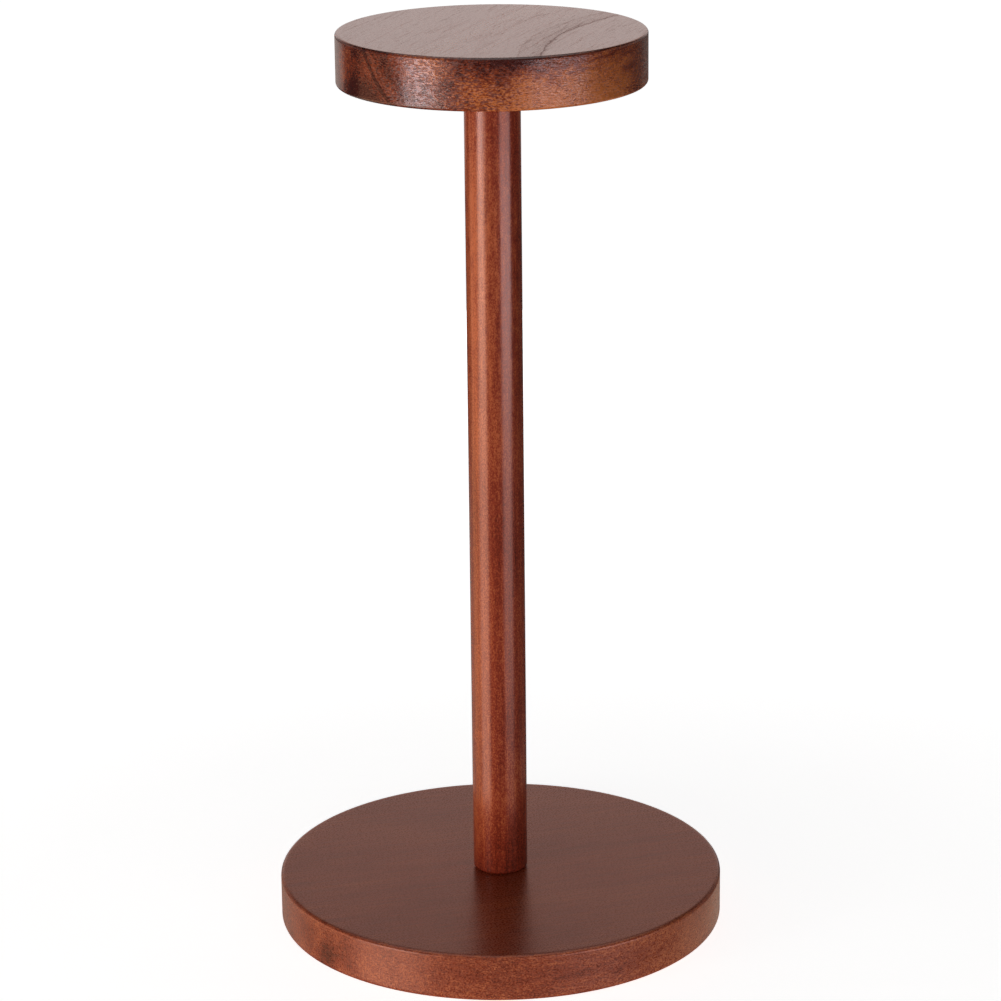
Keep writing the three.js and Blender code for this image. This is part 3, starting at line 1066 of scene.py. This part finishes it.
def add_softbox(name, role, bearings, heights, radiance, colour):
    """A softbox that faces the stand between two bearings, which are degrees right of the camera."""
    middle = math.radians(sum(bearings) / 2)
    width = 2 * SOFTBOX_DISTANCE * math.tan(math.radians(bearings[1] - bearings[0]) / 2)
    height = heights[1] - heights[0]
    forward = -math.cos(middle) * SOFTBOX_DISTANCE
    place = (math.sin(middle) * SOFTBOX_DISTANCE, forward, sum(heights) / 2)
    bpy.ops.object.light_add(type="AREA", location=place, rotation=(math.pi / 2, 0, middle))
    lamp = bpy.context.object
    lamp.name = name
    lamp.data.shape = "RECTANGLE"
    lamp.data.size = width
    lamp.data.size_y = height
    lamp.data.energy = radiance * math.pi * width * height
    lamp.data.color = colour
    lamp.visible_camera = False
    lamp.visible_diffuse = role != SHINE
    lamp.visible_glossy = role != FILL
    print(f"{name}: {width:.2f} x {height:.2f} m, {lamp.data.energy:.1f} W")


add_softbox("left_spot", SHINE, (-58, -28), (0.12, 0.15), 7.0, (1, 0.93, 0.88))
add_softbox("left_top", BOTH, (-64, -43), (0.1, 0.32), 4.2, (1, 1.02, 1.15))
add_softbox("left_high", BOTH, (-69, -37), (-0.06, 0.1), 4.6, (1, 0.83, 0.7))
add_softbox("left_low", SHINE, (-76, -37), (-0.45, -0.06), 2.7, (1, 0.85, 0.73))
add_softbox("left_side_high", SHINE, (-112, -74), (-0.07, 0.12), 1.9, (1, 0.5, 0.3))
add_softbox("left_side", SHINE, (-118, -77), (-0.36, -0.07), 1.4, (1, 0.62, 0.35))
add_softbox("left_fill", FILL, (-57, -10), (-0.4, 0.4), 1.85, (1, 0.87, 0.74))
add_softbox("left_behind", SHINE, (-160, -118), (-0.6, -0.12), 0.36, (1, 0.87, 0.72))
add_softbox("left_edge", SHINE, (-168, -137), (0.1, 0.26), 0.5, (1, 0.8, 0.72))
add_softbox("right_top", SHINE, (33, 60), (0.15, 0.26), 1.2, (1, 0.3, 0.02))
add_softbox("right_high", SHINE, (28, 72), (-0.05, 0.14), 3.4, (0.96, 1, 1.15))
add_softbox("right_low", SHINE, (27, 66), (-0.31, -0.05), 1.35, (1, 1.03, 1.1))
add_softbox("right_edge", SHINE, (140, 168), (0.1, 0.26), 0.15, (1, 0.8, 0.7))
add_softbox("right_fill", FILL, (0, 40), (-0.1, 0.4), 1.9, WHITE)
add_softbox("right_behind", SHINE, (104, 160), (-0.6, -0.38), 0.65, (1, 0.78, 0.6))
add_softbox("back_fill", FILL, (140, 220), (-0.3, 0.4), 1.5, WHITE)

# %% [markdown]
# ## The room and the white background
# The camera sees pure white round the stand. Reflections see more: the paper rises behind the
# stand, pale near the table and warmer higher up, where it turns into the wall, and is weaker to
# both sides. A soft light hangs right overhead, and the rest of the room is dim. The room's own
# light on the stand is weak. Heights here are the upward share of a direction, from -1 to 1.

# %% Set up the world
ROOM_LIGHT = 0.03
BELOW = 0.03
OVERHEAD = 1.2
OVERHEAD_HEIGHTS = (0.7, 0.85)
BELOW_HEIGHTS = (0.0, -0.03)
PAPER_FOOT = (0.93, 0.755, 0.715, 1)
WALL = (1.0, 0.54, 0.44, 1)
DARK = (0, 0, 0, 1)
WALL_STOPS = [(0.05, PAPER_FOOT), (0.22, PAPER_FOOT), (0.38, WALL), (0.5, DARK)]
WALL_STRENGTH = 1.05
WALL_AT_SIDES = 0.3
SIDES_COUNT = 1.2
SIDE_FADE = (0.3, 0.6)

world = bpy.data.worlds.new("room")
bpy.context.scene.world = world
world.use_nodes = True
tree = world.node_tree
tree.nodes.clear()
way = make_node(tree, "TexCoord", {}, {}, "Generated")
upward = part_of(way, "Z")
behind = part_of(way, "Y") - abs(part_of(way, "X")) * SIDES_COUNT
under = fade(upward, *BELOW_HEIGHTS)
overhead = fade(upward, *OVERHEAD_HEIGHTS)
rays = ("Is Camera Ray", "Is Glossy Ray", "Is Transmission Ray")
seen, glossy, through = (make_node(tree, "LightPath", {}, {}, ray) for ray in rays)
mirrored = glossy + through
dim = under * BELOW + overhead * OVERHEAD * mirrored + ROOM_LIGHT
wall_strength = fade(behind, *SIDE_FADE, WALL_AT_SIDES, 1.0) * (1 - under) * mirrored
dim_room = make_node(tree, "Background", {}, {"Strength": seen + (1 - seen) * dim})
lit_wall = make_node(
    tree, "Background", {}, {"Color": ramp(upward, WALL_STOPS), "Strength": wall_strength * WALL_STRENGTH}
)
room = make_node(tree, "AddShader", {}, {0: dim_room, 1: lit_wall})
make_node(tree, "OutputWorld", {}, {"Surface": room})
print("room light:", ROOM_LIGHT)

# %% [markdown]
# ## Finishing the scene
# The finished model has to fill the same box as the solid model. The view transform is set to
# Standard.

# %% Finish
bpy.context.scene.view_settings.view_transform = "Standard"
